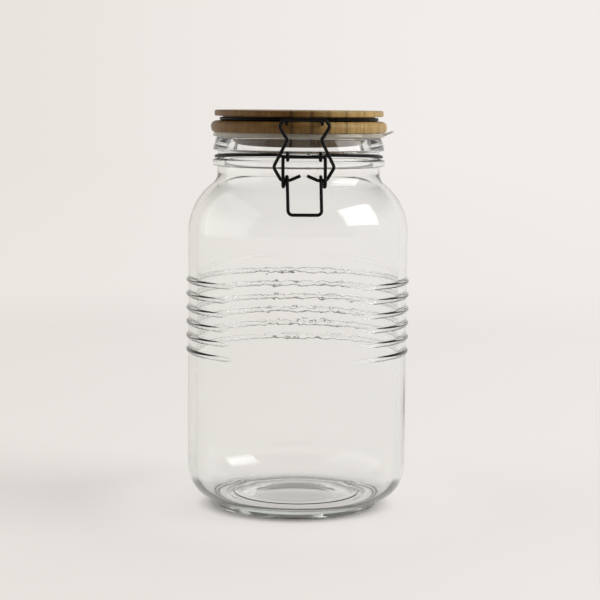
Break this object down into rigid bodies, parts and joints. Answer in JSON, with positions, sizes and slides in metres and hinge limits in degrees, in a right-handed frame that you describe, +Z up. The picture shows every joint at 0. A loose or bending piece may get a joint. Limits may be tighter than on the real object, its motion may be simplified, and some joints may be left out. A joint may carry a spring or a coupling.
{
  "type": "food canister",
  "caption": "Ribbed glass canister with a turned wooden lid, a silicone gasket with a pull tab, and a wire hinge and over-centre toggle clamp that hold the lid shut.",
  "frame": {"origin": "middle of the foot ring, on the surface that the jar stands on", "axes": "+Z up along the jar's axis, -Y towards the toggle clamp, the lid's hinge line at +Y and along X"},
  "size_m": [0.1274, 0.1275, 0.2261],
  "materials": {
    "clear_glass": "clear, fire-polished",
    "oiled_wood": "laminated, turned and oiled, satin",
    "silicone": "translucent silicone, satin",
    "black_wire": "satin black coated steel wire"
  },
  "bodies": {
    "jar": {"glass_jar": "clear_glass", "neck_wire": "black_wire"},
    "lid": {"wood_lid": "oiled_wood", "gasket": "silicone", "lid_wire": "black_wire"},
    "lever": {"lever": "black_wire"},
    "bail": {"bail": "black_wire"}
  },
  "joints": [
    {"name": "lid_hinge", "type": "hinge", "parent": "jar", "child": "lid", "pos_m": [0, 0.056, 0.1999], "axis": [-1, 0, 0], "range_deg": [0, 120]},
    {"name": "clamp_lever", "type": "hinge", "parent": "jar", "child": "lever", "pos_m": [0, -0.0515, 0.2014], "axis": [-1, 0, 0], "range_deg": [0, 120]},
    {"name": "bail_pivot", "type": "hinge", "parent": "lever", "child": "bail", "pos_m": [0, -0.0495, 0.1885], "axis": [1, 0, 0], "range_deg": [0, 126]}
  ],
  "couplings": [
    {"joint": "bail_pivot", "follows": "clamp_lever", "ratio": 1.05}
  ]
}
